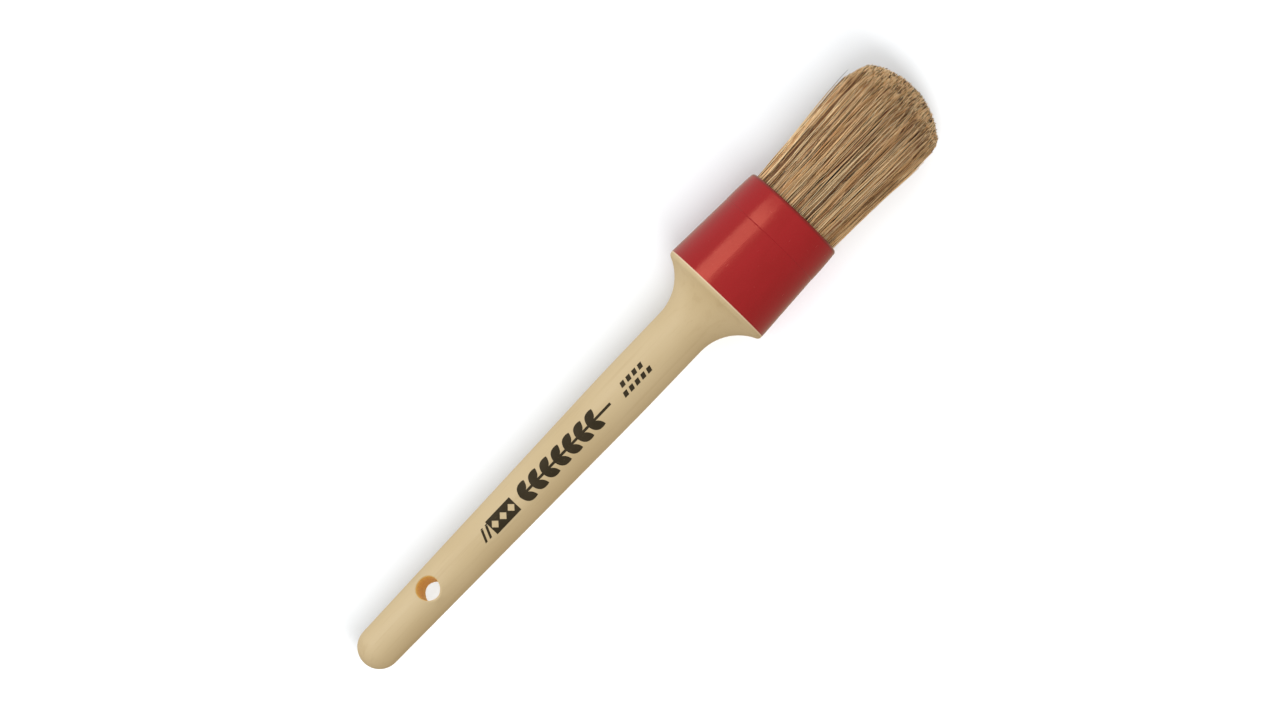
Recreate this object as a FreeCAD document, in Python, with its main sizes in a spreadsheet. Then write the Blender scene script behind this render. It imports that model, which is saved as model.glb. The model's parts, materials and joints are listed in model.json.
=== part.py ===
"""Round painting brush: a turned wooden handle, a moulded ferrule and a domed bristle tuft.

Millimetres. The brush lies along X with its bristle towards +X, and rests on Z = 0 on the rim of
its ferrule. The origin is on the floor, under the middle of its length. Inside each body, x runs
along the brush's axis from the handle's butt, and a turned outline's y is the distance out from it.
"""
import FreeCAD, Part
import math
import os

import Sketcher
from FreeCAD import Vector

# The driving dimensions, in millimetres and degrees. Every place is measured along the axis
# from the handle's butt.
SIZES = {
    "overall_length": 260.0,
    # handle
    "butt_radius": 7.3,
    "swell_start": 112.0,
    "swell_end": 132.0,
    "swell_rise": 0.17,
    "neck_radius": 9.2,
    "flare_start": 149.3,
    "flare_angle": 66.0,
    "lip_radius": 1.5,
    "flange_radius": 20.2,
    "hole_place": 32.4,
    "hole_radius": 4.0,
    "hole_rounding": 0.5,
    "tenon_length": 10.0,
    "tenon_chamfer": 0.8,
    # ferrule
    "ferrule_base": 166.7,
    "ferrule_mouth": 203.2,
    "ferrule_radius": 20.25,
    "ferrule_draft": 2.6,
    "ferrule_wall": 1.9,
    "step_place": 191.2,
    "step_width": 0.34,
    "step_lead": 0.1,
    "step_depth": 0.055,
    "step_rise": 0.05,
    "nose_curve": 130.0,
    "mouth_radius": 18.65,
    "mouth_rounding": 1.0,
    "mouth_bore": 17.2,
    "shoulder_place": 191.2,
    "shoulder_length": 1.5,
    # hidden pieces of the knot
    "glue_film": 0.15,
    "key_offset": 2.6,
    "key_pitch": 3.6,
    "key_width": 1.2,
    "key_depth": 0.6,
    "plug_radius": 6.0,
    "plug_tip": 206.0,
    "band_offset": 5.0,
    "band_width": 4.0,
    "band_thickness": 0.8,
    # bristle
    "belly_start": 240.0,
    "belly_radius": 19.0,
    "tuft_radius": 19.15,
    "dome_radius": 26.0,
    "dome_shoulder": 9.0,
}
KEY_COUNT = 2
ON_H_AXIS = -1  # Sketcher's number for a sketch's horizontal axis, and for its origin point
ON_V_AXIS = -2
START, END = 1, 2  # Sketcher's numbers for the ends of an edge
NEAR = 1e-4  # how far off the hole's wall a vertex may be, in millimetres

# Places and radii that follow from the driving dimensions
FLARE_RADIUS = (
    "((sizes.flange_radius - sizes.neck_radius) / (1 - cos(sizes.flare_angle)) - sizes.lip_radius)"
)
FLARE_END = f"sizes.flare_start + {FLARE_RADIUS} * sin(sizes.flare_angle)"
FLARE_END_RADIUS = f"sizes.neck_radius + {FLARE_RADIUS} * (1 - cos(sizes.flare_angle))"
LIP_TOP = f"sizes.flare_start + ({FLARE_RADIUS} + sizes.lip_radius) * sin(sizes.flare_angle)"
SWELL_LENGTH = "(sizes.swell_end - sizes.swell_start)"
SWELL_CURVE = (
    f"(({SWELL_LENGTH} * {SWELL_LENGTH} + sizes.swell_rise * sizes.swell_rise)"
    " / (2 * sizes.swell_rise))"
)
TENON_END = "(sizes.ferrule_base + sizes.tenon_length)"
BAND_START = f"({TENON_END} + sizes.band_offset)"
BAND_END = f"({BAND_START} + sizes.band_width)"
RESIN_END = "(sizes.shoulder_place + sizes.shoulder_length)"
PLUG_NOSE = "(sizes.plug_tip - sizes.plug_radius)"
DOME_CENTRE = "(sizes.overall_length - sizes.dome_radius)"
DOME_INNER = "(sizes.dome_radius - sizes.dome_shoulder)"
SHOULDER_OUT = "(sizes.tuft_radius - sizes.dome_shoulder)"
SHOULDER_ALONG = f"sqrt({DOME_INNER} * {DOME_INNER} - {SHOULDER_OUT} * {SHOULDER_OUT})"
SHOULDER_TOP = f"({DOME_CENTRE} + {SHOULDER_ALONG})"
BELLY_LENGTH = f"({SHOULDER_TOP} - sizes.belly_start)"
BELLY_RISE = "(sizes.tuft_radius - sizes.belly_radius)"
BELLY_CURVE = f"(({BELLY_LENGTH} * {BELLY_LENGTH} + {BELLY_RISE} * {BELLY_RISE}) / (2 * {BELLY_RISE}))"


def cone_at(radius, place):
    """A radius on the ferrule's draft: radius at its base, less what the draft takes by place."""
    return f"({radius} - ({place} - sizes.ferrule_base) * tan(sizes.ferrule_draft))"


def bore_at(place):
    """The ferrule's tapered bore, which the tenon, its glue and the resin share."""
    return cone_at("(sizes.ferrule_radius - sizes.ferrule_wall)", place)


def tenon_at(place):
    """The handle's tenon: the bore less the film of glue round it."""
    return f"({bore_at(place)} - sizes.glue_film)"


def make_sheet(doc):
    """The spreadsheet that every sketch and placement reads."""
    sheet = doc.addObject("Spreadsheet::Sheet", "sizes")
    for row, (name, value) in enumerate(SIZES.items(), 1):
        sheet.set(f"A{row}", name)
        sheet.set(f"B{row}", str(value))
        sheet.setAlias(f"B{row}", name)
    doc.recompute()
    return sheet


def make_body(doc, name):
    """An empty body whose axis lies along X at the height of the ferrule's rim."""
    body = doc.addObject("PartDesign::Body", name)
    body.Label = name
    body.setExpression("Placement.Base.x", "-sizes.overall_length / 2")
    body.setExpression("Placement.Base.z", "sizes.ferrule_radius")
    return body


def origin_plane(body, role):
    """One of the body's own origin planes, such as XZ_Plane."""
    return next(item for item in body.Origin.OriginFeatures if item.Role == role)


def make_sketch(body, name, plane):
    """An empty sketch on one of the body's origin planes."""
    sketch = body.newObject("Sketcher::SketchObject", name)
    sketch.AttachmentSupport = [(origin_plane(body, plane), "")]
    sketch.MapMode = "FlatFace"
    return sketch


class Outline:
    """One closed outline in a sketch. A corner is a pair of sheet expressions, (x, y)."""

    def __init__(self, sketch, x, y):
        self.sketch = sketch
        self.here = (x, y)
        self.ends = []

    def value(self, expression):
        """What a sheet expression comes to now."""
        found = self.sketch.evalExpression(expression)
        return float(getattr(found, "Value", found))

    def point(self, corner):
        return Vector(self.value(corner[0]), self.value(corner[1]), 0)

    def line(self, x, y):
        """A straight edge to (x, y)."""
        edge = Part.LineSegment(self.point(self.here), self.point((x, y)))
        self.keep(self.sketch.addGeometry(edge, False), (x, y), START, END)

    def arc(self, x, y, radius, turn):
        """A round edge to (x, y), under half a circle, that turns "left" or "right" on its way."""
        begin, finish, size = self.point(self.here), self.point((x, y)), self.value(radius)
        chord = finish - begin
        reach = math.sqrt(max(size**2 - chord.Length**2 / 4, 0))
        side = Vector(-chord.y, chord.x, 0).normalize() * (reach if turn == "left" else -reach)
        centre = (begin + finish) * 0.5 + side
        low, high = (begin, finish) if turn == "left" else (finish, begin)
        circle = Part.Circle(centre, Vector(0, 0, 1), size)
        angles = [math.atan2(end.y - centre.y, end.x - centre.x) for end in (low, high)]
        number = self.sketch.addGeometry(Part.ArcOfCircle(circle, *angles), False)
        self.keep(number, (x, y), *((START, END) if turn == "left" else (END, START)))
        self.measure("Radius", radius, number)

    def keep(self, number, corner, first, last):
        self.ends.append((number, first, last, corner))
        self.here = corner

    def measure(self, kind, expression, *places):
        """A dimension whose value is a sheet expression."""
        constraint = Sketcher.Constraint(kind, *places, self.value(expression))
        number = self.sketch.addConstraint(constraint)
        self.sketch.setExpression(f"Constraints[{number}]", expression)

    def close(self):
        """Joins the edges end to end and fixes each corner by its expressions."""
        following = self.ends[1:] + self.ends[:1]
        for (number, _, last, corner), (after, first, _, _) in zip(self.ends, following):
            self.sketch.addConstraint(Sketcher.Constraint("Coincident", number, last, after, first))
            for kind, expression, axis in (
                ("DistanceX", corner[0], ON_V_AXIS),
                ("DistanceY", corner[1], ON_H_AXIS),
            ):
                if expression == "0":
                    on_axis = Sketcher.Constraint("PointOnObject", number, last, axis)
                    self.sketch.addConstraint(on_axis)
                else:
                    self.measure(kind, expression, ON_H_AXIS, START, number, last)


def ring(sketch, left, right, inner, outer):
    """A rectangle from left to right along the axis, and from inner to outer away from it."""
    outline = Outline(sketch, left, inner)
    outline.line(left, outer)
    outline.line(right, outer)
    outline.line(right, inner)
    outline.line(left, inner)
    outline.close()


def turn(body, sketch, kind="Revolution"):
    """Turns a sketch about the brush's axis, as a solid or, with Groove, as a cut."""
    turned = body.newObject(f"PartDesign::{kind}", f"{sketch.Name}_{kind.lower()}")
    turned.Profile = sketch
    turned.ReferenceAxis = (sketch, ["H_Axis"])
    turned.Angle = 360
    return turned


def key_rings(body, name, outer):
    """The rings of glue in the tenon's grooves, or those grooves, as rectangles in one sketch."""
    sketch = make_sketch(body, name, "XZ_Plane")
    for number in range(KEY_COUNT):
        left = f"(sizes.ferrule_base + sizes.key_offset + {number} * sizes.key_pitch)"
        right = f"({left} + sizes.key_width)"
        ring(sketch, left, right, f"({tenon_at(left)} - sizes.key_depth)", outer(left))
    return sketch


def make_handle(doc):
    """Turned handle: domed butt, slight swelling, bell flare, rounded flange and tenon."""
    body = make_body(doc, "handle")
    sketch = make_sketch(body, "handle_outline", "XZ_Plane")
    outline = Outline(sketch, "0", "0")
    outline.arc("sizes.butt_radius", "sizes.butt_radius", "sizes.butt_radius", "right")
    outline.line("sizes.swell_start", "(sizes.neck_radius - sizes.swell_rise)")
    outline.arc("sizes.swell_end", "sizes.neck_radius", SWELL_CURVE, "right")
    outline.line("sizes.flare_start", "sizes.neck_radius")
    outline.arc(FLARE_END, FLARE_END_RADIUS, FLARE_RADIUS, "left")
    outline.arc(LIP_TOP, "sizes.flange_radius", "sizes.lip_radius", "right")
    outline.line("sizes.ferrule_base", "sizes.flange_radius")
    outline.line("sizes.ferrule_base", tenon_at("sizes.ferrule_base"))
    chamfer_start = f"({TENON_END} - sizes.tenon_chamfer)"
    outline.line(chamfer_start, tenon_at(chamfer_start))
    outline.line(TENON_END, f"({tenon_at(chamfer_start)} - sizes.tenon_chamfer)")
    outline.line(TENON_END, "0")
    outline.line("0", "0")
    outline.close()
    turn(body, sketch)
    grooves = key_rings(body, "tenon_grooves", bore_at)
    turn(body, grooves, "Groove")
    cut_hang_hole(doc, body)
    return body


def cut_hang_hole(doc, body):
    """The hanging hole, straight through the handle along Z, with rounded rims."""
    sketch = make_sketch(body, "hang_hole_outline", "XY_Plane")
    circle = Part.Circle(Vector(SIZES["hole_place"], 0, 0), Vector(0, 0, 1), SIZES["hole_radius"])
    number = sketch.addGeometry(circle, False)
    radius = sketch.addConstraint(Sketcher.Constraint("Radius", number, SIZES["hole_radius"]))
    sketch.setExpression(f"Constraints[{radius}]", "sizes.hole_radius")
    centre = 3  # Sketcher's number for a circle's centre point
    sketch.addConstraint(Sketcher.Constraint("PointOnObject", number, centre, ON_H_AXIS))
    place = Sketcher.Constraint("DistanceX", ON_H_AXIS, START, number, centre, SIZES["hole_place"])
    sketch.setExpression(f"Constraints[{sketch.addConstraint(place)}]", "sizes.hole_place")
    pocket = body.newObject("PartDesign::Pocket", "hang_hole")
    pocket.Profile = sketch
    pocket.Type = "ThroughAll"
    pocket.Midplane = True
    doc.recompute()
    rims = body.newObject("PartDesign::Fillet", "hang_hole_rims")
    rims.Base = (pocket, rim_edges(pocket.Shape))
    rims.setExpression("Radius", "sizes.hole_rounding")


def rim_edges(shape):
    """The names of the edges where the hanging hole meets the handle's skin."""
    names = []
    for number, edge in enumerate(shape.Edges, 1):
        ends = [Vector(v.X - SIZES["hole_place"], v.Y, 0).Length for v in edge.Vertexes]
        on_wall = all(math.isclose(end, SIZES["hole_radius"], abs_tol=NEAR) for end in ends)
        if on_wall and edge.BoundBox.ZLength < SIZES["hole_radius"]:
            names.append(f"Edge{number}")
    return names


def make_tenon_glue(doc):
    """Film of glue between tenon and ferrule, with a ring of it in each of the tenon's grooves."""
    body = make_body(doc, "tenon_glue")
    sketch = make_sketch(body, "glue_outline", "XZ_Plane")
    chamfer_start = f"({TENON_END} - sizes.tenon_chamfer)"
    outline = Outline(sketch, "sizes.ferrule_base", tenon_at("sizes.ferrule_base"))
    outline.line("sizes.ferrule_base", bore_at("sizes.ferrule_base"))
    outline.line(TENON_END, bore_at(TENON_END))
    outline.line(TENON_END, f"({tenon_at(chamfer_start)} - sizes.tenon_chamfer)")
    outline.line(chamfer_start, tenon_at(chamfer_start))
    outline.line("sizes.ferrule_base", tenon_at("sizes.ferrule_base"))
    outline.close()
    turn(body, sketch)
    keys = key_rings(body, "glue_keys", lambda place: f"({bore_at(place)} - sizes.glue_film / 2)")
    turn(body, keys)
    return body


def make_ferrule(doc):
    """Moulded ferrule: tapered body, fine step, slightly barrelled nose, inner shoulder."""
    body = make_body(doc, "ferrule")
    sketch = make_sketch(body, "ferrule_outline", "XZ_Plane")
    step_foot = "(sizes.step_place - sizes.step_width)"
    step_floor = f"({cone_at('sizes.ferrule_radius', 'sizes.step_place')} - sizes.step_depth)"
    step_top = f"({cone_at('sizes.ferrule_radius', 'sizes.step_place')} + sizes.step_rise)"
    lip_start = "(sizes.ferrule_mouth - sizes.mouth_rounding)"
    outline = Outline(sketch, "sizes.ferrule_base", bore_at("sizes.ferrule_base"))
    outline.line("sizes.ferrule_base", "sizes.ferrule_radius")
    outline.line(step_foot, cone_at("sizes.ferrule_radius", step_foot))
    outline.line("(sizes.step_place - sizes.step_lead)", step_floor)
    outline.line("sizes.step_place", step_top)
    outline.arc(lip_start, "sizes.mouth_radius", "sizes.nose_curve", "right")
    outline.arc(
        "sizes.ferrule_mouth",
        "(sizes.mouth_radius - sizes.mouth_rounding)",
        "sizes.mouth_rounding",
        "right",
    )
    outline.line("sizes.ferrule_mouth", "sizes.mouth_bore")
    outline.line(RESIN_END, "sizes.mouth_bore")
    outline.line("sizes.shoulder_place", bore_at("sizes.shoulder_place"))
    outline.line("sizes.ferrule_base", bore_at("sizes.ferrule_base"))
    outline.close()
    turn(body, sketch)
    return body


def make_knot_band(doc):
    """Rubber ring round the bristle bundle, set flush in the resin."""
    body = make_body(doc, "knot_band")
    sketch = make_sketch(body, "band_outline", "XZ_Plane")
    outer = bore_at(BAND_END)
    ring(sketch, BAND_START, BAND_END, f"({outer} - sizes.band_thickness)", outer)
    turn(body, sketch)
    return body


def make_knot_resin(doc):
    """Cast resin round the butts of the bristle, wedged behind the ferrule's shoulder."""
    body = make_body(doc, "knot_resin")
    sketch = make_sketch(body, "resin_outline", "XZ_Plane")
    outline = Outline(sketch, TENON_END, "sizes.plug_radius")
    outline.line(TENON_END, bore_at(TENON_END))
    outline.line("sizes.shoulder_place", bore_at("sizes.shoulder_place"))
    outline.line(RESIN_END, "sizes.mouth_bore")
    outline.line(RESIN_END, "sizes.plug_radius")
    outline.line(TENON_END, "sizes.plug_radius")
    outline.close()
    turn(body, sketch)
    groove = make_sketch(body, "band_groove", "XZ_Plane")
    outer = bore_at(BAND_END)
    ring(groove, BAND_START, BAND_END, f"({outer} - sizes.band_thickness)", bore_at(BAND_START))
    turn(body, groove, "Groove")
    return body


def make_core_plug(doc):
    """Moulded core in the middle of the knot, with a round nose among the bristle."""
    body = make_body(doc, "core_plug")
    sketch = make_sketch(body, "plug_outline", "XZ_Plane")
    outline = Outline(sketch, TENON_END, "0")
    outline.line(TENON_END, "sizes.plug_radius")
    outline.line(PLUG_NOSE, "sizes.plug_radius")
    outline.arc("sizes.plug_tip", "0", "sizes.plug_radius", "right")
    outline.line(TENON_END, "0")
    outline.close()
    turn(body, sketch)
    return body


def make_bristle_tuft(doc):
    """The bristle as one solid: straight in the ferrule, then flared, with a domed end."""
    body = make_body(doc, "bristle_tuft")
    sketch = make_sketch(body, "tuft_outline", "XZ_Plane")
    share = f"(sizes.dome_radius / {DOME_INNER})"
    outline = Outline(sketch, RESIN_END, "sizes.plug_radius")
    outline.line(RESIN_END, "sizes.mouth_bore")
    outline.line("sizes.ferrule_mouth", "sizes.mouth_bore")
    outline.line("sizes.belly_start", "sizes.belly_radius")
    outline.arc(SHOULDER_TOP, "sizes.tuft_radius", BELLY_CURVE, "right")
    outline.arc(
        f"({DOME_CENTRE} + {SHOULDER_ALONG} * {share})",
        f"({SHOULDER_OUT} * {share})",
        "sizes.dome_shoulder",
        "right",
    )
    outline.arc("sizes.overall_length", "0", "sizes.dome_radius", "right")
    outline.line("sizes.plug_tip", "0")
    outline.arc(PLUG_NOSE, "sizes.plug_radius", "sizes.plug_radius", "left")
    outline.line(RESIN_END, "sizes.plug_radius")
    outline.close()
    turn(body, sketch)
    return body


def check(doc, bodies):
    """Stops on a failed feature, or on a piece that isn't one valid solid."""
    failed = [item.Name for item in doc.Objects if {"Invalid", "Error"} & set(item.State)]
    if failed:
        raise RuntimeError(f"failed features: {failed}")
    for body in bodies:
        shape = body.Shape
        if shape.isNull() or not shape.isValid() or len(shape.Solids) != 1:
            raise RuntimeError(f"{body.Label} isn't one valid solid")
        box = shape.BoundBox
        print(
            f"{body.Label:13} {shape.Volume / 1000:8.3f} cm3"
            f"  x {box.XMin:8.2f} {box.XMax:8.2f}  z {box.ZMin:6.2f} {box.ZMax:6.2f}"
        )


def main():
    doc = FreeCAD.newDocument("round_brush")
    make_sheet(doc)
    makers = (
        make_handle,
        make_tenon_glue,
        make_ferrule,
        make_knot_band,
        make_knot_resin,
        make_core_plug,
        make_bristle_tuft,
    )
    bodies = [make(doc) for make in makers]
    doc.recompute()
    check(doc, bodies)
    os.makedirs("parts", exist_ok=True)
    for body in bodies:
        body.Shape.exportStep(f"parts/{body.Label}.step")


main()
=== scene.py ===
"""The look of a round painting brush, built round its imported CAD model.

Metres, in the CAD frame: the brush lies along X with its bristle towards +X, on the floor at Z = 0.
Lengths that are easier to read in millimetres are written as a number times MM. Places round the
brush's axis are given as a turn, in radians: 0 faces the camera, and a quarter turn faces the
picture's upper left.
"""

import json
import math

import bmesh
import bpy
import numpy as np
from mathutils import Matrix, Vector
from mathutils.bvhtree import BVHTree


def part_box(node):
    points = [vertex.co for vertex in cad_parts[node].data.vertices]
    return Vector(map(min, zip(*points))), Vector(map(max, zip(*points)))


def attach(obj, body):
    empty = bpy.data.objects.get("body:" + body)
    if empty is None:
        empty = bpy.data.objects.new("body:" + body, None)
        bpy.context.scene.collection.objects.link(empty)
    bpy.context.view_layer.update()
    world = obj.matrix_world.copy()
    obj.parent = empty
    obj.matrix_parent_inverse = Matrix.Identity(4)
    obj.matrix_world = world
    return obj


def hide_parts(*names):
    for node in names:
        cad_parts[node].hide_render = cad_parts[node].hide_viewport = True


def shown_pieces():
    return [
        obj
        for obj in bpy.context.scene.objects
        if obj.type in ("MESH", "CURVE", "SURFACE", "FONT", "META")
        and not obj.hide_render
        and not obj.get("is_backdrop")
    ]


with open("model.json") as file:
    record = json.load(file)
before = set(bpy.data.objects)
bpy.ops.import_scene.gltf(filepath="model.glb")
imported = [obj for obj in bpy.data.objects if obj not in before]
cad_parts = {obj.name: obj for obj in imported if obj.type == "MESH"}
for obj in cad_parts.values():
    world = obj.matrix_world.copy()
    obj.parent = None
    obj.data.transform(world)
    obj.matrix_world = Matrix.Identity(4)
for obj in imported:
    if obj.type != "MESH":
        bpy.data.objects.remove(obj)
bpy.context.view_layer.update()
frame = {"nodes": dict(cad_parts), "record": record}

MM = 0.001
SEED = 24
FULL_TURN = 2 * math.pi

# Places that come from the CAD model
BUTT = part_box("handle")[0].x
FERRULE_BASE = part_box("ferrule")[0].x
FERRULE_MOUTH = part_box("ferrule")[1].x
KNOT_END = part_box("knot_resin")[1].x
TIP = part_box("bristle_tuft")[1].x
AXIS_Z = (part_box("ferrule")[0].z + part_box("ferrule")[1].z) / 2
HOLE = next(mount for mount in frame["record"]["mounts"] if mount["name"] == "hang_hole")

# The camera's direction: tilted about the brush's axis, with the brush rising to the right
CAMERA_TILT = math.radians(15.5)
BRUSH_RISE = math.radians(46.3)
ALONG = Vector((1, 0, 0))
FACING = Vector((0, -math.sin(CAMERA_TILT), math.cos(CAMERA_TILT)))
ACROSS = FACING.cross(ALONG)


def from_butt(millimetres):
    """The x of a place that is this far from the handle's butt."""
    return BUTT + millimetres * MM


def turned(turn):
    """The direction out from the axis at a turn. Takes one angle or an array of them."""
    turn = np.asarray(turn, float)
    return np.cos(turn)[..., None] * np.array(FACING) + np.sin(turn)[..., None] * np.array(ACROSS)


def on_brush(x, radius, turn):
    """Points at x along the axis, radius out from it, and at that turn."""
    x, radius, turn = np.broadcast_arrays(x, radius, turn)
    points = turned(turn) * radius[..., None]
    points[..., 0] += x
    points[..., 2] += AXIS_Z
    return points


def wrapped(angle):
    """The same angle between half a turn back and half a turn on."""
    return (angle + math.pi) % FULL_TURN - math.pi


def smooth(value):
    """Eases from 0 to 1 as value goes from 0 to 1."""
    value = np.clip(value, 0, 1)
    return value * value * (3 - 2 * value)


def outline_of(node, places):
    """The CAD node's radius at each x in places, along one line that misses the hanging hole."""
    mesh = frame["nodes"][node].data
    tree = BVHTree.FromPolygons(
        [vertex.co for vertex in mesh.vertices], [face.vertices[:] for face in mesh.polygons]
    )
    outside = 0.1
    radii = []
    for x in places:
        start = Vector((x, outside, AXIS_Z))
        hit = tree.ray_cast(start, Vector((0, -1, 0)))[0]
        radii.append(hit.y if hit else 0.0)
    return np.array(radii)


# ---------------------------------------------------------------- materials


def mix_colours(tree, share, first, second):
    """A colour between first and second. Each value is a number, a colour or a node's socket."""
    made = tree.nodes.new("ShaderNodeMix")
    made.data_type = "RGBA"
    for name, value in (("Factor", share), ("A", first), ("B", second)):
        socket = made.inputs[name]
        if isinstance(value, bpy.types.NodeSocket):
            tree.links.new(value, socket)
        else:
            socket.default_value = (*value, 1) if isinstance(value, tuple) else value
    return made.outputs["Result"]


class Look:
    """A procedural material. add() makes a node; a value given to it may be a node's socket."""

    def __init__(self, name):
        self.material = bpy.data.materials.new(name)
        self.material.use_nodes = True
        self.tree = self.material.node_tree
        self.shader = self.tree.nodes["Principled BSDF"]
        self.place = self.add("ShaderNodeTexCoord").outputs["Object"]

    def add(self, kind, inputs=None, **settings):
        made = self.tree.nodes.new(kind)
        for name, value in settings.items():
            setattr(made, name, value)
        for name, value in (inputs or {}).items():
            self.put(made.inputs[name], value)
        return made

    def put(self, socket, value):
        if isinstance(value, bpy.types.NodeSocket):
            self.tree.links.new(value, socket)
        else:
            socket.default_value = value

    def surface(self, **values):
        """Sets the shader's sockets, named as in Blender but with _ for a space."""
        for name, value in values.items():
            self.put(self.shader.inputs[name.replace("_", " ")], value)

    def noise(self, stretch, detail=3.0, distortion=0.0, turn=(0, 0, 0)):
        """Noise whose grains are 1 / stretch metres long on each axis."""
        mapping = self.add(
            "ShaderNodeMapping",
            {"Vector": self.place, "Scale": stretch, "Rotation": turn},
        )
        made = self.add(
            "ShaderNodeTexNoise",
            {
                "Vector": mapping.outputs["Vector"],
                "Scale": 1.0,
                "Detail": detail,
                "Distortion": distortion,
            },
        )
        return made.outputs["Fac"]

    def along(self):
        """The place along the brush."""
        return self.add("ShaderNodeSeparateXYZ", {"Vector": self.place}).outputs["X"]

    def spread(self, value, low, high, to_low=0.0, to_high=1.0):
        """Stretches value from low..high to to_low..to_high, held at both ends."""
        made = self.add(
            "ShaderNodeMapRange",
            {
                "Value": value,
                "From Min": low,
                "From Max": high,
                "To Min": to_low,
                "To Max": to_high,
            },
            interpolation_type="SMOOTHSTEP",
        )
        return made.outputs["Result"]

    def math(self, operation, first, second):
        return self.add("ShaderNodeMath", {0: first, 1: second}, operation=operation).outputs[0]

    def vector(self, operation, first, second=(0, 0, 0)):
        return self.add("ShaderNodeVectorMath", {0: first, 1: second}, operation=operation)

    def mix(self, share, first, second):
        return mix_colours(self.tree, share, first, second)

    def bump(self, *layers):
        """Bumps from (height socket, depth in metres) pairs, one on another."""
        normal = None
        for height, depth in layers:
            made = self.add("ShaderNodeBump", {"Height": height, "Distance": depth})
            if normal is not None:
                self.put(made.inputs["Normal"], normal)
            normal = made.outputs["Normal"]
        self.surface(Normal=normal)


def lacquered_wood():
    """Pale close-grained wood under satin lacquer, amber where lacquer pooled in the hole."""
    look = Look("lacquered_wood")
    figure = look.noise((14, 260, 260), detail=4, distortion=0.6)
    fibre = look.noise((60, 2400, 2400))
    cloud = look.noise((22, 60, 60), detail=2)
    pale, mid, grain = (0.64, 0.50, 0.285), (0.60, 0.46, 0.25), (0.50, 0.36, 0.18)
    colour = look.mix(look.spread(cloud, 0.35, 0.65), pale, mid)
    colour = look.mix(look.spread(figure, 0.52, 0.72, 0, 0.30), colour, grain)
    colour = look.mix(look.spread(fibre, 0.58, 0.75, 0, 0.28), colour, grain)
    # the hole's wall, by distance from the hole's axis
    centre = look.vector("SUBTRACT", look.place, tuple(HOLE["pos_m"]))
    flat = look.vector("MULTIPLY", centre.outputs[0], (1, 1, 0))
    reach = look.vector("LENGTH", flat.outputs[0]).outputs["Value"]
    wall = HOLE["dims"]["r_mm"] * MM
    in_hole = look.spread(reach, wall - 0.02 * MM, wall + 0.22 * MM, 1, 0)
    amber = look.mix(look.spread(fibre, 0.4, 0.7), (0.93, 0.62, 0.15), (0.87, 0.53, 0.10))
    colour = look.mix(in_hole, colour, amber)
    # painted highlight: a paler strip along the flange's edge against the ferrule
    edge = look.spread(look.along(), FERRULE_BASE - 0.6 * MM, FERRULE_BASE - 0.3 * MM, 0, 0.7)
    colour = look.mix(edge, colour, (0.86, 0.66, 0.46))
    look.surface(Base_Color=colour, Roughness=look.spread(cloud, 0.3, 0.7, 0.50, 0.60))
    look.surface(Specular_IOR_Level=0.6)
    ripple = look.noise((90, 220, 220), detail=2)
    look.bump((fibre, 0.012 * MM), (ripple, 0.03 * MM))
    return look.material


def moulded_red():
    """Satin red plastic with flow marks, fine scuffs, a grain from the mould and painted shade on
    its lip.
    """
    look = Look("ferrule_plastic")
    flow = look.noise((40, 130, 130), distortion=0.4)
    grain = look.noise((2600, 2600, 2600), detail=2)
    colour = look.mix(look.spread(flow, 0.3, 0.7), (0.335, 0.007, 0.016), (0.305, 0.0055, 0.013))
    colour = look.mix(look.spread(grain, 0.35, 0.75, 0, 0.22), colour, (0.40, 0.014, 0.022))
    scuff_across = look.noise((3000, 260, 260), detail=2, turn=(0.2, 0.5, 0.9))
    scuff_along = look.noise((240, 2600, 2600), detail=2, turn=(0, 0.2, -0.4))
    scuffs = look.math(
        "MAXIMUM",
        look.spread(scuff_across, 0.72, 0.80),
        look.spread(scuff_along, 0.72, 0.80),
    )
    colour = look.mix(look.math("MULTIPLY", scuffs, 0.22), colour, (0.56, 0.12, 0.12))
    # painted shade: the rounded lip at the mouth is darkened in the colour
    painted_lip_shade = look.spread(look.along(), FERRULE_MOUTH - 1.3 * MM, FERRULE_MOUTH - 0.5 * MM, 0, 0.6)
    colour = look.mix(painted_lip_shade, colour, (0.13, 0.012, 0.012))
    roughness = look.spread(flow, 0.3, 0.7, 0.17, 0.22)
    roughness = look.math("ADD", roughness, look.math("MULTIPLY", scuffs, 0.12))
    look.surface(Base_Color=colour, Roughness=roughness)
    look.surface(Specular_IOR_Level=0.75, Specular_Tint=(1, 0.35, 0.22, 1))
    look.bump((grain, 0.010 * MM), (scuffs, -0.006 * MM))
    return look.material


def bristle_look(name, colour, other):
    """One tone of natural bristle, varying along each hair and from hair to hair."""
    look = Look(name)
    tone = look.add("ShaderNodeAttribute", attribute_name="hair_tone").outputs["Fac"]
    patch = look.noise((160, 900, 900), detail=2)
    share = look.math("MULTIPLY", look.math("ADD", tone, patch), 0.5)
    look.surface(Base_Color=look.mix(look.spread(share, 0.2, 0.8), colour, other))
    look.surface(Roughness=look.spread(patch, 0.3, 0.7, 0.38, 0.55), Specular_IOR_Level=0.3)
    scales = look.noise((9000, 3000, 3000), detail=1)
    look.bump((scales, 0.006 * MM))
    return look.material


def streaked(name, first, second, roughness, stretch, depth):
    """A plain stuff in two near tones, in streaks or grains."""
    look = Look(name)
    grain = look.noise(stretch, detail=4)
    look.surface(Base_Color=look.mix(look.spread(grain, 0.35, 0.65), first, second))
    look.surface(Roughness=look.spread(grain, 0.3, 0.7, roughness, roughness + 0.1))
    look.bump((grain, depth))
    return look.material


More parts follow.
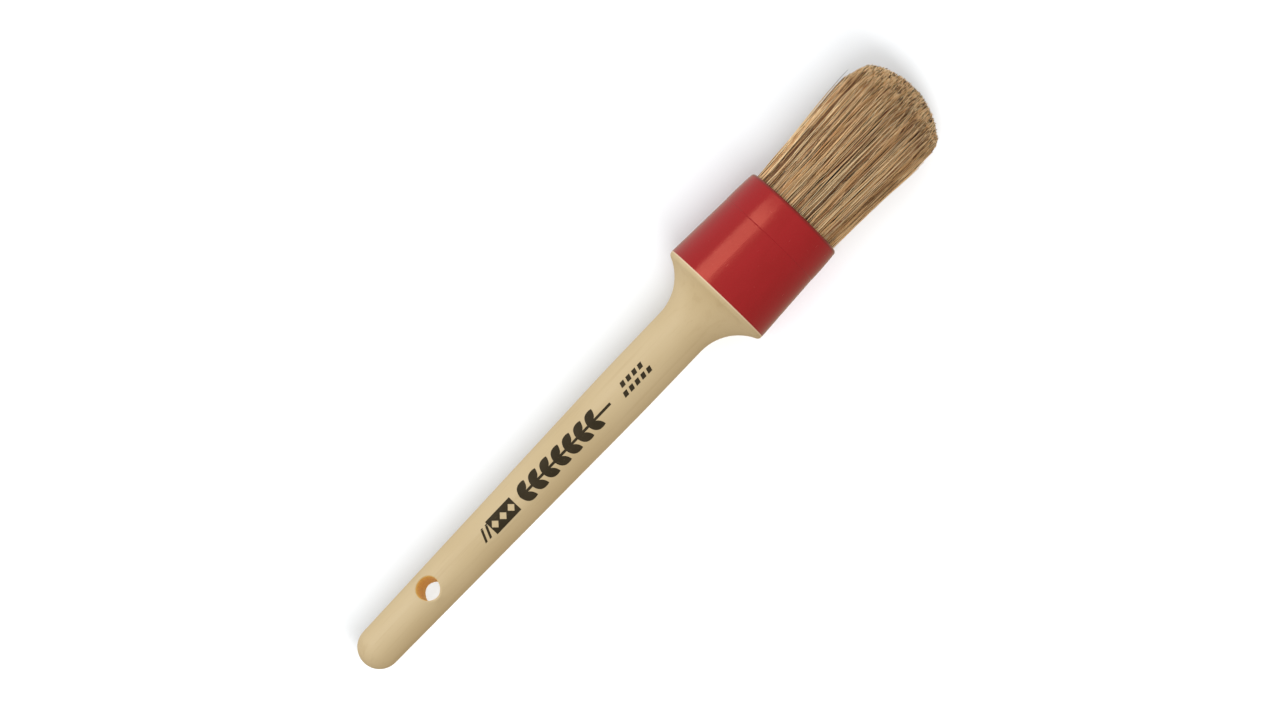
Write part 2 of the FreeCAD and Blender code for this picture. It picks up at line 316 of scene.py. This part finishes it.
def ink_look():
    """Screen-printed ink, a little thin in places."""
    look = Look("print_ink")
    worn = look.noise((900, 900, 900))
    patch = look.noise((150, 150, 150), detail=2)
    colour = look.mix(look.spread(patch, 0.3, 0.7), (0.034, 0.025, 0.011), (0.046, 0.034, 0.017))
    colour = look.mix(look.spread(worn, 0.62, 0.80, 0, 0.5), colour, (0.10, 0.075, 0.04))
    look.surface(Base_Color=colour, Roughness=look.spread(worn, 0.3, 0.7, 0.5, 0.65))
    look.surface(Specular_IOR_Level=0.12)
    look.bump((worn, 0.004 * MM))
    return look.material


def dress(node, material):
    """Gives a CAD node its material."""
    piece = frame["nodes"][node]
    if not piece.material_slots:
        piece.data.materials.append(material)
    for slot in piece.material_slots:
        slot.material = material


# The pieces inside: node, material's name, its two tones, roughness, grain and depth
INSIDE_PIECES = (
    ("tenon_glue", "glue", (0.72, 0.66, 0.48), (0.62, 0.56, 0.40), 0.4, (300, 300, 300), 0.02 * MM),
    (
        "knot_band", "band_rubber", (0.055, 0.04, 0.03), (0.035, 0.027, 0.02), 0.6,
        (900, 900, 900), 0.02 * MM,
    ),
    ("knot_resin", "resin", (0.42, 0.22, 0.06), (0.30, 0.15, 0.04), 0.2, (90, 500, 500), 0.03 * MM),
    (
        "core_plug", "plug_plastic", (0.68, 0.67, 0.62), (0.62, 0.61, 0.56), 0.35,
        (500, 500, 500), 0.02 * MM,
    ),
)


def dress_cad_pieces():
    dress("handle", lacquered_wood())
    dress("ferrule", moulded_red())
    for node, *look in INSIDE_PIECES:
        dress(node, streaked(*look))


# ---------------------------------------------------------------- building pieces


def keep_piece(name, mesh, material):
    """Makes a mesh a piece of the brush, riding on it."""
    piece = bpy.data.objects.new(name, mesh)
    bpy.context.scene.collection.objects.link(piece)
    mesh.materials.append(material)
    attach(piece, "root")
    return piece


def add_bristle_piece(name, points, faces, material):
    """A piece of the tuft from an array of points and arrays of faces."""
    mesh = bpy.data.meshes.new(name)
    mesh.vertices.add(len(points))
    mesh.vertices.foreach_set("co", np.asarray(points, np.float32).ravel())
    corners = np.concatenate([group.ravel() for group in faces])
    sizes = np.concatenate([np.full(len(group), group.shape[1]) for group in faces])
    mesh.loops.add(len(corners))
    mesh.loops.foreach_set("vertex_index", corners.astype(np.int32))
    mesh.polygons.add(len(sizes))
    starts = np.concatenate([[0], np.cumsum(sizes)[:-1]])
    mesh.polygons.foreach_set("loop_start", starts.astype(np.int32))
    mesh.update(calc_edges=True)
    mesh.validate()
    mesh.shade_smooth()
    piece = keep_piece(name, mesh, material)
    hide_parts("bristle_tuft")
    return piece


# ---------------------------------------------------------------- bristle

HAIR_RADIUS = 0.13 * MM
HAIR_SIDES = 3
OUTER_COUNT = 3900
INNER_COUNT = 9000
STRAY_COUNT = 40
PARTINGS = 700
DOME_PARTINGS = 320
PARTING_FADE = 2.5
LOCKS = 640
END_TUFTS = 2400

PROFILE_PLACES = np.linspace(KNOT_END + 0.1 * MM, TIP - 0.05 * MM, 160)
PROFILE_RADII = outline_of("bristle_tuft", PROFILE_PLACES)
TUFT_RADIUS = PROFILE_RADII.max()
SHOULDER = PROFILE_PLACES[PROFILE_RADII.argmax()]

# The uneven trim of the dome: longer towards the upper left, where its last hairs are cut back,
# with a fuller corner opposite
TRIM_SLOPE = 0.035
CUT_CORNER, CUT_START, CUT_WIDTH = 2.6 * MM, 15.2 * MM, 3.2 * MM
FULL_CORNER, FULL_START, FULL_WIDTH = 1.1 * MM, 15.5 * MM, 3.5 * MM
TRIM_GAP = 0.35 * MM


def tuft_radius(x):
    """The tuft's outer radius at x, held at its widest beyond the dome's shoulder."""
    radius = np.interp(x, PROFILE_PLACES, PROFILE_RADII)
    return np.where(x > SHOULDER, TUFT_RADIUS, radius)


def dome_place(radius, turn):
    """Where hair that far out ends: the CAD dome, with its uneven trim."""
    on_dome = PROFILE_PLACES >= SHOULDER
    out = PROFILE_RADII[on_dome][::-1]
    place = PROFILE_PLACES[on_dome][::-1]
    side = radius * np.sin(turn)
    end = np.interp(radius, out, place) + TRIM_SLOPE * side
    end += FULL_CORNER * smooth((-side - FULL_START) / FULL_WIDTH)
    end -= CUT_CORNER * smooth((side - CUT_START) / CUT_WIDTH)
    return end - TRIM_GAP


class Hairs:
    """Hairs as arrays: x, radius and turn at every point of each, and how dark each tends to be."""

    def __init__(self, x, radius, turn, shade):
        self.x, self.radius, self.turn, self.shade = x, radius, turn, shade

    def points(self):
        return on_brush(self.x, self.radius, self.turn)

    def chosen(self, which):
        return Hairs(self.x[which], self.radius[which], self.turn[which], self.shade[which])


def part_hairs(hairs, depth, partings):
    """Pushes hair aside along lines, so that the dark inside shows between locks.

    A parting is its turn, how far it leans, its start and end, how far it pushes the hairs beside
    it, and the depth that it reaches.
    """
    for turn, lean, start, end, width, reach in partings:
        share = np.clip((hairs.x - start) / (end - start), 0, 1)
        away = wrapped(hairs.turn - (turn + lean * share)) * TUFT_RADIUS
        opening = width * np.sin(math.pi * share) * np.exp(-((away / (PARTING_FADE * width)) ** 2))
        opening = opening * (depth < reach)[:, None]
        hairs.turn = hairs.turn + np.sign(away) * opening / TUFT_RADIUS


def spread_turns(random, count):
    """Turns at random, one in each equal share of the way round."""
    return (np.arange(count) + random.uniform(0, 1, count)) / count * 2 * math.pi - math.pi


def make_partings(random, count):
    """Short openings between locks, spread evenly round the tuft and along it."""
    turns = spread_turns(random, count)
    places = (random.permutation(count) + 0.5) / count
    partings = []
    for turn, place in zip(turns, places):
        middle = FERRULE_MOUTH + place * (SHOULDER - FERRULE_MOUTH)
        half = random.uniform(4, 13) * MM
        start = max(middle - half, FERRULE_MOUTH - 3 * MM)
        width = random.uniform(0.08, 0.20) * MM
        reach = random.uniform(0.9, 2.4) * MM
        partings.append((turn, random.normal(0, 0.05), start, middle + half, width, reach))
    return partings


def make_dome_partings(random, count):
    """Openings that run up over the dome's shoulder."""
    reach = 2.0 * MM
    partings = []
    for turn in spread_turns(random, count):
        start = SHOULDER - random.uniform(1, 8) * MM
        end = start + random.uniform(6, 15) * MM
        width = random.uniform(0.12, 0.34) * MM
        partings.append((turn, random.normal(0, 0.08), start, end, width, reach))
    return partings


def outer_hairs(random, count, partings):
    """Long hairs from inside the ferrule to the dome, in the outer millimetres of the tuft."""
    share = np.linspace(0, 1, 14)
    depth = 2.8 * MM * random.uniform(0, 1, count) ** 0.8
    turn = random.uniform(-math.pi, math.pi, count)
    # locks, which draw their hairs together and lean and sink as one
    lock_turn = np.sort(random.uniform(-math.pi, math.pi, LOCKS))
    nearest = np.abs(wrapped(turn[:, None] - lock_turn)).argmin(axis=1)
    lock_lean = random.normal(0, 0.03, LOCKS)
    lock_depth = random.uniform(0, 0.25, LOCKS) * MM
    shift = 0.35 * wrapped(lock_turn[nearest] - turn) + lock_lean[nearest]
    sink = lock_depth[nearest][:, None] * np.sin(math.pi * share)
    sink = sink * (depth < 1.2 * MM)[:, None]
    # the uneven ends
    start = KNOT_END + 0.5 * MM
    end = dome_place(tuft_radius(TIP) - depth, turn + shift)
    end = end + random.normal(0, 0.2 * MM, count) - random.exponential(0.35 * MM, count)
    x = start + (end - start)[:, None] * share
    # most hairs run nearly straight, and some cross their neighbours
    own_lean = random.normal(0, 1, count) * random.choice((0.015, 0.05), count, p=(0.6, 0.4))
    wave = random.normal(0, 0.008, count)[:, None]
    phase = random.uniform(0, FULL_TURN, count)[:, None]
    path = turn[:, None] + shift[:, None] * smooth(share) + own_lean[:, None] * (share - 0.4)
    path = path + wave * np.sin(share * 5 + phase) * share
    # each hair comes up to the surface and goes under its neighbours along its length
    swing = random.uniform(0.1, 0.6, count)[:, None] * MM
    beat = random.uniform(1.5, 3.2, count)[:, None] * FULL_TURN
    dive = swing * (0.5 - 0.5 * np.sin(beat * share + 3 * phase))
    radius = tuft_radius(x) - HAIR_RADIUS - depth[:, None] - np.maximum(sink, 0) - dive
    lock_shade = random.normal(0, 0.08, LOCKS)
    hairs = Hairs(x, radius, path, lock_shade[nearest])
    part_hairs(hairs, depth, partings)
    return hairs


def inner_hairs(random, count, partings):
    """The ends of the hairs in the middle, which show only on the dome, gathered in small tufts."""
    share = np.linspace(0, 1, 5)
    length = 14 * MM
    widest = TUFT_RADIUS - 1.6 * MM
    tuft_out = np.sqrt(random.uniform(0, 1, END_TUFTS)) * widest
    tuft_turn = random.uniform(-math.pi, math.pi, END_TUFTS)
    tuft_side, tuft_front = tuft_out * np.sin(tuft_turn), tuft_out * np.cos(tuft_turn)
    out = np.sqrt(random.uniform(0, 1, count)) * widest
    turn = random.uniform(-math.pi, math.pi, count)
    side, front = out * np.sin(turn), out * np.cos(turn)
    nearest = np.hypot(side[:, None] - tuft_side, front[:, None] - tuft_front).argmin(axis=1)
    tuft_rise = random.normal(0, 0.15 * MM, END_TUFTS)
    end = dome_place(out, turn) + tuft_rise[nearest] + random.normal(0, 0.08 * MM, count)
    end = end + 0.1 * MM - random.exponential(0.7 * MM, count)
    x = end[:, None] - length * (1 - share)
    stray_side, stray_front = random.normal(0, 0.12 * MM, (2, count))
    pull_side = 0.5 * (tuft_side[nearest] - side) + stray_side
    pull_front = 0.5 * (tuft_front[nearest] - front) + stray_front
    side = side[:, None] + pull_side[:, None] * share**2
    front = front[:, None] + pull_front[:, None] * share**2
    tuft_shade = random.normal(0, 0.42, END_TUFTS)
    hairs = Hairs(x, np.hypot(side, front), np.arctan2(side, front), tuft_shade[nearest])
    part_hairs(hairs, np.zeros(count), partings)
    return hairs


def stray_hairs(random, count):
    """A few hairs that stand a little clear of the tuft. The first is dark, along its upper left."""
    share = np.linspace(0, 1, 11)
    end = random.uniform(SHOULDER - 16 * MM, SHOULDER + 1 * MM, count)
    turn = random.uniform(-math.pi, math.pi, count)
    clear = random.uniform(0.15, 0.45, count) * MM
    lean = random.normal(0, 0.07, count)
    turn[0], end[0], clear[0], lean[0] = math.radians(86), from_butt(248.8), 0.5 * MM, 0.03
    start = FERRULE_MOUTH - 4 * MM
    sunk = 0.5 * MM
    x = start + (end - start)[:, None] * share
    radius = tuft_radius(x) - sunk + (clear + sunk)[:, None] * smooth(share * 1.3 - 0.3)
    path = turn[:, None] + lean[:, None] * share
    shade = random.choice((-0.3, 0.3), count)
    shade[0] = 1.0
    return Hairs(x, radius, path, shade)


def tubes(hairs, thickness):
    """Closed three-sided tubes along the hairs, thinner towards the tips.

    Gives the points, the quads and end triangles, and how many points each tube has.
    """
    line = hairs.points()
    count, steps = line.shape[:2]
    ahead = np.gradient(line, axis=1)
    ahead /= np.linalg.norm(ahead, axis=2, keepdims=True)
    out = turned(hairs.turn[:, :1])
    out = out - ahead * (out * ahead).sum(axis=2, keepdims=True)
    out /= np.linalg.norm(out, axis=2, keepdims=True)
    side = np.cross(ahead, out)
    angles = np.arange(HAIR_SIDES) * FULL_TURN / HAIR_SIDES
    ring = out[:, :, None] * np.cos(angles)[:, None] + side[:, :, None] * np.sin(angles)[:, None]
    girth = thickness[:, None] * (1 - 0.4 * np.linspace(0, 1, steps) ** 3)
    points = line[:, :, None] + ring * girth[:, :, None, None]
    first = (np.arange(count) * steps * HAIR_SIDES)[:, None, None]
    step = (np.arange(steps - 1) * HAIR_SIDES)[None, :, None]
    corner = np.arange(HAIR_SIDES)
    after = (corner + 1) % HAIR_SIDES
    ring_start = first + step
    next_ring = ring_start + HAIR_SIDES
    quads = np.stack(
        [ring_start + corner, ring_start + after, next_ring + after, next_ring + corner], axis=-1
    ).reshape(-1, 4)
    root = (first[:, 0] + corner[::-1]).reshape(-1, HAIR_SIDES)
    tip = (first[:, 0] + (steps - 1) * HAIR_SIDES + corner).reshape(-1, HAIR_SIDES)
    return points.reshape(-1, 3), (quads, root, tip), steps * HAIR_SIDES


def join_hairs(sets):
    """One set of points and faces from several sets of tubes, and each point's hair tone."""
    points, quads, ends, tones = [], [], [], []
    so_far = 0
    for (part, (sides, root, tip), each), tone in sets:
        points.append(part)
        quads.append(sides + so_far)
        ends.extend((root + so_far, tip + so_far))
        tones.append(np.repeat(tone, each))
        so_far += len(part)
    faces = (np.concatenate(quads), np.concatenate(ends))
    return np.concatenate(points), faces, np.concatenate(tones)


def bristle_shade_core(material):
    """The dense inside of the tuft: a grooved solid a little inside the hair ends, painted dark as
    shade.
    """
    random = np.random.default_rng(SEED + 1)
    around = 360
    inset, end_inset = 2.7 * MM, 3.6 * MM
    turn = np.linspace(-math.pi, math.pi, around, endpoint=False)
    groove = np.zeros(around)
    for waves, height in ((17, 0.10), (43, 0.14), (97, 0.12), (151, 0.08)):
        groove += height * MM * np.sin(waves * turn + random.uniform(0, FULL_TURN))
    start = KNOT_END + 0.2 * MM
    places = np.linspace(start, SHOULDER - 2 * MM, 24)
    rings = [on_brush(x, tuft_radius(x) - inset + groove, turn) for x in places]
    for angle in np.linspace(0, math.pi / 2, 9)[1:-1]:
        radius = (TUFT_RADIUS - inset + groove) * math.cos(angle) ** 0.7
        x = places[-1] + (dome_place(radius, turn) - end_inset - places[-1]) * math.sin(angle)
        rings.append(on_brush(x, radius, turn))
    root = on_brush(start, 0.0, 0.0)
    top = on_brush(dome_place(np.zeros(1), np.zeros(1))[0] - end_inset, 0.0, 0.0)
    points = np.concatenate([*rings, root[None], top[None]])
    now = np.arange(around)
    after = (now + 1) % around
    step = (np.arange(len(rings) - 1) * around)[:, None]
    quads = np.stack(
        [step + now, step + after, step + around + after, step + around + now], axis=-1
    ).reshape(-1, 4)
    root_corner = np.full(around, len(rings) * around)
    last = (len(rings) - 1) * around
    root_fan = np.stack([root_corner, after, now], axis=1)
    top_fan = np.stack([root_corner + 1, last + now, last + after], axis=1)
    faces = (quads, np.concatenate([root_fan, top_fan]))
    add_bristle_piece("bristle_shade_core", points, faces, material)


# name, share of the hairs, colour, the tone that it varies to
TONES = (
    ("bristle_pale", 0.32, (1.0, 0.78, 0.475), (0.95, 0.69, 0.39)),
    ("bristle_wheat", 0.17, (0.96, 0.665, 0.345), (0.86, 0.55, 0.265)),
    ("bristle_straw", 0.13, (0.92, 0.59, 0.29), (0.80, 0.475, 0.22)),
    ("bristle_tan", 0.11, (0.74, 0.44, 0.20), (0.62, 0.35, 0.15)),
    ("bristle_brown", 0.12, (0.36, 0.19, 0.082), (0.25, 0.124, 0.053)),
    ("bristle_russet", 0.06, (0.42, 0.19, 0.086), (0.31, 0.133, 0.059)),
    ("bristle_dark", 0.09, (0.075, 0.048, 0.032), (0.035, 0.024, 0.016)),
)


def pick_tones(random, hairs):
    """A tone number for each hair: at random by the tones' shares, but darker in dark locks."""
    shares = np.array([tone[1] for tone in TONES])
    steps = np.cumsum(shares / shares.sum())[:-1]
    return np.searchsorted(steps, random.uniform(0, 1, len(hairs.shade)) + hairs.shade)


def make_bristle():
    """The tuft: thousands of hairs, one piece for each tone, over a core painted dark as shade."""
    random = np.random.default_rng(SEED)
    partings = make_partings(random, PARTINGS) + make_dome_partings(random, DOME_PARTINGS)
    groups = (
        outer_hairs(random, OUTER_COUNT, partings),
        inner_hairs(random, INNER_COUNT, partings),
        stray_hairs(random, STRAY_COUNT),
    )
    picks = [pick_tones(random, hairs) for hairs in groups]
    for number, (name, _, colour, other) in enumerate(TONES):
        sets = []
        for hairs, tones in zip(groups, picks):
            mine = tones == number
            thickness = HAIR_RADIUS * random.uniform(0.65, 1.15, mine.sum())
            sets.append((tubes(hairs.chosen(mine), thickness), random.uniform(0, 1, mine.sum())))
        points, faces, tone = join_hairs(sets)
        piece = add_bristle_piece(name, points, faces, bristle_look(name, colour, other))
        values = piece.data.attributes.new("hair_tone", "FLOAT", "POINT")
        values.data.foreach_set("value", tone.astype(np.float32))
    # the core's dark brown is painted shade for the deep gaps between the hairs
    bristle_shade_core(
        streaked(
            "bristle_shade_core", (0.16, 0.095, 0.05), (0.075, 0.045, 0.025), 0.7,
            (60, 1400, 1400), 0.2 * MM,
        )
    )


# ---------------------------------------------------------------- print
# Places are millimetres from the butt, and across is millimetres round the handle, towards its
# upper left.

INK_GAP = 0.01 * MM
INK_THICKNESS = 0.03 * MM
PRINT_TURN = 0.5 * MM / (9 * MM)
HANDLE_PLACES = np.linspace(from_butt(50), from_butt(140), 60)
HANDLE_RADII = outline_of("handle", HANDLE_PLACES)

STROKES, STROKE_WIDTH, STROKE_HALF, STROKE_LEAN = (56.0, 58.0), 0.9, 2.2, 0.45
BLOCK_START, BLOCK_LENGTH, BLOCK_HALF = 60.8, 11.2, 2.9
LOZENGES, LOZENGE_HALF, LOZENGE_SPACING = 3.0, 1.55, 1.25
STEM_START, STEM_END, STEM_HALF = 74.5, 116.8, 0.45
LEAF_PAIRS, LEAF_START, LEAF_PITCH = 7, 74.6, 5.3
LEAF_LENGTH, LEAF_WIDTH, LEAF_SLANT = 5.6, 3.1, math.radians(33)
LEAF_ROOT, LEAF_POINT = 0.35, 0.02
DASH_WIDTH, DASH_PITCH, DASH_LEAN = 1.7, 2.7, 0.3
# Each rule of dashes: its start, its two edges and how many dashes
RULES = ((123.0, 0.6, 2.4, 4), (121.5, -2.4, -0.6, 5))


def ink_sheet(bm, rows):
    """A sheet of ink on the handle, from rows of (places, across), one edge to the other."""
    grid = []
    for places, across in rows:
        x = from_butt(places)
        radius = np.interp(x, HANDLE_PLACES, HANDLE_RADII) + INK_GAP
        points = on_brush(x, radius, PRINT_TURN + across * MM / radius)
        grid.append([bm.verts.new(point) for point in points])
    for row, above in zip(grid, grid[1:]):
        for n in range(len(row) - 1):
            bm.faces.new((row[n], row[n + 1], above[n + 1], above[n]))


def ink_strip(bm, places, low, high, rows=5):
    """Ink between two edges, low and high, that run along the handle."""
    ink_sheet(bm, [(places, low + (high - low) * share) for share in np.linspace(0, 1, rows)])


def slanted_bar(bm, start, width, bottom, top, lean):
    """A bar across the handle whose top leans towards the ferrule."""
    across_bar = width * np.linspace(0, 1, 5)
    heights = np.linspace(bottom, top, 5)
    ink_sheet(bm, [(start + across_bar + lean * (height - bottom), height) for height in heights])


def leaf(bm, start, side):
    """A pointed leaf that springs from the stem, on one side, and leans towards the ferrule."""
    share = np.linspace(0.0, 1.0, 13)
    half = LEAF_WIDTH / 2 * np.sin(math.pi * share) ** 0.8
    half[[0, -1]] = LEAF_POINT
    middle = share * LEAF_LENGTH
    along, out = math.cos(LEAF_SLANT), math.sin(LEAF_SLANT)
    rows = []
    for edge in np.linspace(-1, 1, 5):
        place = start + middle * along - edge * half * out
        rows.append((place, side * (LEAF_ROOT + middle * out + edge * half * along)))
    ink_sheet(bm, rows)


def finish_ink(bm, name, material):
    """Thickens the sheets to a film and keeps them as one piece."""
    bmesh.ops.remove_doubles(bm, verts=bm.verts, dist=0.005 * MM)
    bmesh.ops.recalc_face_normals(bm, faces=bm.faces)
    bmesh.ops.solidify(bm, geom=bm.faces[:], thickness=-INK_THICKNESS)
    bmesh.ops.recalc_face_normals(bm, faces=bm.faces)
    mesh = bpy.data.meshes.new(name)
    bm.to_mesh(mesh)
    bm.free()
    keep_piece(name, mesh, material)


def make_print():
    """A made-up ornament where a maker's print would be: block, ear of leaves, two dashed rules."""
    material = ink_look()
    bm = bmesh.new()
    for start in STROKES:
        slanted_bar(bm, start, STROKE_WIDTH, -STROKE_HALF, STROKE_HALF, STROKE_LEAN)
    # the block, in two halves that leave a row of lozenges open
    share = np.linspace(0, 1, 61)
    from_middle = np.abs((share * LOZENGES) % 1.0 - 0.5)
    opening = np.clip(LOZENGE_HALF * (1 - from_middle * 2 * LOZENGE_SPACING), 0, None)
    places = BLOCK_START + BLOCK_LENGTH * share
    ink_strip(bm, places, -BLOCK_HALF, -opening)
    ink_strip(bm, places, opening, BLOCK_HALF)
    finish_ink(bm, "print_block", material)

    bm = bmesh.new()
    ink_strip(bm, np.linspace(STEM_START, STEM_END, 60), -STEM_HALF, STEM_HALF, rows=3)
    for number in range(LEAF_PAIRS):
        for side in (-1, 1):
            leaf(bm, LEAF_START + LEAF_PITCH * number, side)
    finish_ink(bm, "print_leaves", material)

    bm = bmesh.new()
    for start, bottom, top, count in RULES:
        for number in range(count):
            slanted_bar(bm, start + DASH_PITCH * number, DASH_WIDTH, bottom, top, DASH_LEAN)
    finish_ink(bm, "print_rules", material)


# ---------------------------------------------------------------- stage

FLOOR_HALF = 4.0
ROOM_LEAN = math.radians(20)
ROOM_ABOVE = (0.94, 0.95, 0.96)
ROOM_BELOW = (0.53, 0.44, 0.32)
LENS_WIDTH = 36.0
CAMERA_DISTANCE = 1.5
FRAME_WIDTH = 0.4175
FRAME_MIDDLE = from_butt(133.6)
FRAME_SHIFT = 3.25 * MM

# Each light: degrees that it leans from the vertical (positive towards +Y), distance, x, its size
# across and along the brush, and its power in watts
LIGHTS = {
    "key": (28, 0.9, -0.16, 0.6, 0.77, 1.9),
    "ferrule_key": (10, 0.9, -0.16, 0.6, 0.77, 1.9),
    "gleam": (28, 0.9, -0.16, 0.6, 0.77, 5.2),
    "shadow": (-33.5, 0.7, -0.07, 0.45, 0.22, 3.9),
    "tuft_key": (36, 0.9, -0.16, 0.6, 0.77, 2.65),
}


def make_floor():
    """A plain pale floor."""
    mesh = bpy.data.meshes.new("floor")
    corners = [(-1, -1), (1, -1), (1, 1), (-1, 1)]
    mesh.from_pydata([(FLOOR_HALF * x, FLOOR_HALF * y, 0) for x, y in corners], [], [(0, 1, 2, 3)])
    floor = bpy.data.objects.new("floor", mesh)
    bpy.context.scene.collection.objects.link(floor)
    look = Look("floor")
    grain = look.noise((30, 30, 30), detail=2)
    look.surface(Base_Color=look.mix(grain, (0.905, 0.93, 0.955), (0.925, 0.95, 0.975)))
    look.surface(Roughness=0.9, Specular_IOR_Level=0.1)
    mesh.materials.append(look.material)
    # the brush was lit as if it hung in the air: no light comes back up from the floor
    floor.visible_diffuse = False
    floor.visible_glossy = False
    floor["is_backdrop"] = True
    return floor


def add_softbox(name, lean, distance, x, width, length, power):
    """A flat light that shines at the brush's middle, with its length along the brush."""
    light = bpy.data.lights.new(name, "AREA")
    light.shape = "RECTANGLE"
    light.size, light.size_y = width, length
    light.energy = power
    holder = bpy.data.objects.new(name, light)
    bpy.context.scene.collection.objects.link(holder)
    lean = math.radians(lean)
    place = Vector((x, distance * math.sin(lean), AXIS_Z + distance * math.cos(lean)))
    back = (place - Vector((0, 0, AXIS_Z))).normalized()
    up = (ALONG - back * ALONG.dot(back)).normalized()
    side = up.cross(back)
    holder.matrix_world = Matrix.Translation(place) @ Matrix((side, up, back)).transposed().to_4x4()
    return holder


def light_only(light, pieces):
    """Lets a light reach only these pieces."""
    group = bpy.data.collections.new(f"lit_by_{light.name}")
    for piece in pieces:
        group.objects.link(piece)
    light.light_linking.receiver_collection = group


def make_lights(floor):
    """Softboxes for wood, tuft and ferrule, and a light for the floor's shadow."""
    lights = {name: add_softbox(name, *values) for name, values in LIGHTS.items()}
    lights["ferrule_key"].visible_glossy = False
    lights["gleam"].visible_diffuse = False
    ferrule = frame["nodes"]["ferrule"]
    bristle = [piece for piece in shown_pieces() if piece.name.startswith("bristle_")]
    others = [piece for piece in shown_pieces() if piece != ferrule and piece not in bristle]
    light_only(lights["shadow"], [floor])
    light_only(lights["tuft_key"], bristle)
    light_only(lights["key"], others)
    light_only(lights["ferrule_key"], [ferrule])
    light_only(lights["gleam"], [ferrule])


def make_room():
    """A room that is brighter above, and plain white where the camera sees it."""
    world = bpy.data.worlds.new("room")
    world.use_nodes = True
    tree = world.node_tree
    background = tree.nodes["Background"]
    height = tree.nodes.new("ShaderNodeVectorMath")
    height.operation = "DOT_PRODUCT"
    height.inputs[1].default_value = (0, math.sin(ROOM_LEAN), math.cos(ROOM_LEAN))
    direction = tree.nodes.new("ShaderNodeTexCoord").outputs["Generated"]
    tree.links.new(direction, height.inputs[0])
    share = tree.nodes.new("ShaderNodeMapRange")
    share.inputs["From Min"].default_value = -1
    tree.links.new(height.outputs["Value"], share.inputs["Value"])
    glow = mix_colours(tree, share.outputs["Result"], ROOM_BELOW, ROOM_ABOVE)
    seen = tree.nodes.new("ShaderNodeLightPath").outputs["Is Camera Ray"]
    shown = mix_colours(tree, seen, glow, (1, 1, 1))
    tree.links.new(shown, background.inputs["Color"])
    bpy.context.scene.world = world


def make_camera():
    """A long lens nearly above the brush, framed as 1280 by 720."""
    lens = bpy.data.cameras.new("camera")
    lens.sensor_width = LENS_WIDTH
    lens.lens = LENS_WIDTH * CAMERA_DISTANCE / FRAME_WIDTH
    lens.clip_start, lens.clip_end = 0.05, 20
    camera = bpy.data.objects.new("camera", lens)
    bpy.context.scene.collection.objects.link(camera)
    right = ALONG * math.cos(BRUSH_RISE) - ACROSS * math.sin(BRUSH_RISE)
    up = ALONG * math.sin(BRUSH_RISE) + ACROSS * math.cos(BRUSH_RISE)
    aim = Vector((FRAME_MIDDLE, 0, AXIS_Z)) + ACROSS * FRAME_SHIFT
    spin = Matrix((right, up, FACING)).transposed().to_4x4()
    camera.matrix_world = Matrix.Translation(aim + FACING * CAMERA_DISTANCE) @ spin
    bpy.context.scene.camera = camera


dress_cad_pieces()
make_bristle()
make_print()
make_lights(make_floor())
make_room()
make_camera()
bpy.context.scene.view_settings.view_transform = "Standard"
